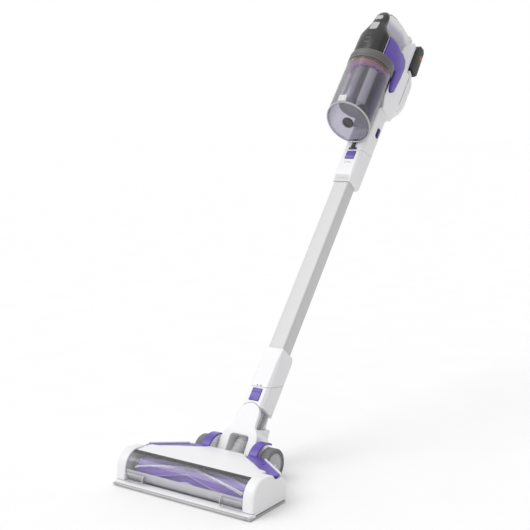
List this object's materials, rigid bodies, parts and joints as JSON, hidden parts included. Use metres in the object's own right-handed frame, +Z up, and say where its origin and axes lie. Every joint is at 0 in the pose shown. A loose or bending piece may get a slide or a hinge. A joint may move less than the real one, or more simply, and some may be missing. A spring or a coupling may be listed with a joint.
{
  "type": "cordless stick vacuum",
  "caption": "Cordless stick vacuum with a wheeled floor head, steering neck, detachable wand, handheld unit, see-through dust bin and battery.",
  "frame": {"origin": "on the floor, in the middle of the sole's rear land, on the machine's middle plane", "axes": "+Z up, +Y from the floor head back towards the user, X across the head; the stick leans back 38.6 degrees about X"},
  "size_m": [0.32, 0.9154, 0.9395],
  "materials": {
    "matte_white": "satin",
    "pale_grey": "satin",
    "grey": "satin",
    "clear": "clear",
    "smoke": "tinted clear",
    "gloss_black": "glossy",
    "bristle": "matte",
    "purple": "satin",
    "steel": "brushed",
    "rubber": "matte",
    "alloy": "anodised",
    "copper": "metallic",
    "board": "matte",
    "paper": "matte",
    "orange": "satin"
  },
  "bodies": {
    "handheld": {"main_housing": "matte_white", "inlet_spigot": "matte_white", "grip_handle": "matte_white", "motor_housing": "matte_white", "suction_motor": "steel", "side_panel_left": "purple", "side_panel_right": "purple", "control_cover": "gloss_black", "circuit_board": "board", "grip_strip": "gloss_black"},
    "motor_fan": {"motor_fan": "alloy"},
    "power_button": {"power_button": "pale_grey"},
    "boost_button": {"boost_button": "pale_grey"},
    "bin_release_button": {"bin_release_button": "purple"},
    "dust_bin": {"bin_ring": "grey", "bin_cup": "smoke", "lid_hinge_pin": "steel", "cyclone_shroud": "steel", "filter_ring": "copper", "pleated_filter": "paper"},
    "bin_lid": {"bin_lid": "smoke", "lid_boss": "grey"},
    "battery": {"battery_pack": "gloss_black", "battery_stripe": "orange"},
    "battery_release_button": {"battery_release_button": "gloss_black"},
    "wand": {"wand_tube": "alloy", "wand_lower_collar": "matte_white", "wand_upper_collar": "matte_white", "wand_release_spring": "steel"},
    "wand_release_button": {"wand_release_button": "purple"},
    "socket": {"head_socket": "matte_white", "head_release_spring": "steel"},
    "head_release_button": {"head_release_button": "purple"},
    "neck": {"neck_yoke": "matte_white", "swivel_pin_front": "steel", "swivel_pin_rear": "steel", "hose_lower": "pale_grey", "hose_upper": "pale_grey"},
    "floor_head": {"head_shell": "matte_white", "sole_plate": "pale_grey", "front_bumper": "matte_white", "brush_window": "clear", "window_band": "gloss_black", "drive_belt": "rubber", "brush_motor": "steel", "suction_duct": "pale_grey", "end_cap_left": "matte_white", "end_cap_right": "matte_white", "wing_cover_left": "purple", "wing_cover_right": "purple", "axle_pin_left": "steel", "axle_pin_right": "steel"},
    "wheel_left": {"wheel_tyre_left": "rubber", "wheel_hub_left": "pale_grey"},
    "wheel_right": {"wheel_tyre_right": "rubber", "wheel_hub_right": "pale_grey"},
    "brush_roll": {"brush_core": "grey", "brush_bristles": "bristle", "brush_pulley": "grey"},
    "motor_pulley": {"motor_pulley": "steel"}
  },
  "joints": [
    {"name": "motor_fan_spin", "type": "hinge", "parent": "handheld", "child": "motor_fan", "pos_m": [0, 0.71512, 0.76496], "axis": [0, 0.6239, 0.7815], "continuous": true},
    {"name": "power_press", "type": "slide", "parent": "handheld", "child": "power_button", "axis": [0, 0.6556, -0.7551], "range_m": [0, 0.0015], "stiffness_N_per_m": 900},
    {"name": "boost_press", "type": "slide", "parent": "handheld", "child": "boost_button", "axis": [0, 0.6556, -0.7551], "range_m": [0, 0.0015], "stiffness_N_per_m": 900},
    {"name": "bin_release_press", "type": "slide", "parent": "handheld", "child": "bin_release_button", "axis": [-1, 0, 0], "range_m": [0, 0.002], "stiffness_N_per_m": 900},
    {"name": "bin_slide", "type": "slide", "parent": "handheld", "child": "dust_bin", "axis": [0, -0.7815, 0.6239], "range_m": [0, 0.12]},
    {"name": "lid_open", "type": "hinge", "parent": "dust_bin", "child": "bin_lid", "pos_m": [0, 0.53794, 0.64047], "axis": [1, 0, 0], "range_deg": [0, 95]},
    {"name": "battery_slide", "type": "slide", "parent": "handheld", "child": "battery", "axis": [0, 0.6239, 0.7815], "range_m": [0, 0.06]},
    {"name": "battery_release_press", "type": "slide", "parent": "battery", "child": "battery_release_button", "axis": [0, -0.7815, 0.6239], "range_m": [0, 0.0025], "stiffness_N_per_m": 900},
    {"name": "wand_detach", "type": "slide", "parent": "handheld", "child": "wand", "axis": [0, -0.6239, -0.7815], "range_m": [0, 0.06]},
    {"name": "wand_release_press", "type": "slide", "parent": "wand", "child": "wand_release_button", "axis": [0, 0.7815, -0.6239], "range_m": [0, 0.0018], "stiffness_N_per_m": 900, "deforming": ["wand_release_spring"]},
    {"name": "head_detach", "type": "slide", "parent": "wand", "child": "socket", "axis": [0, -0.6239, -0.7815], "range_m": [0, 0.05]},
    {"name": "head_release_press", "type": "slide", "parent": "socket", "child": "head_release_button", "axis": [0, 0.7815, -0.6239], "range_m": [0, 0.0018], "stiffness_N_per_m": 900, "deforming": ["head_release_spring"]},
    {"name": "neck_swivel", "type": "hinge", "parent": "socket", "child": "neck", "pos_m": [0, 0.13766, 0.09608], "axis": [0, 0.7815, -0.6239], "range_deg": [-40, 40], "deforming": ["hose_upper"]},
    {"name": "head_recline", "type": "hinge", "parent": "neck", "child": "floor_head", "pos_m": [0, 0.0865, 0.032], "axis": [1, 0, 0], "range_deg": [-38, 45], "deforming": ["hose_lower"]},
    {"name": "wheel_left_spin", "type": "hinge", "parent": "floor_head", "child": "wheel_left", "pos_m": [0, 0.0865, 0.032], "axis": [1, 0, 0], "continuous": true},
    {"name": "wheel_right_spin", "type": "hinge", "parent": "floor_head", "child": "wheel_right", "pos_m": [0, 0.0865, 0.032], "axis": [1, 0, 0], "continuous": true},
    {"name": "brush_spin", "type": "hinge", "parent": "floor_head", "child": "brush_roll", "pos_m": [0, -0.055, 0.0266], "axis": [1, 0, 0], "continuous": true},
    {"name": "motor_pulley_spin", "type": "hinge", "parent": "floor_head", "child": "motor_pulley", "pos_m": [0, 0.002, 0.0266], "axis": [1, 0, 0], "continuous": true}
  ],
  "couplings": [
    {"joint": "motor_pulley_spin", "follows": "brush_spin", "ratio": 2}
  ]
}
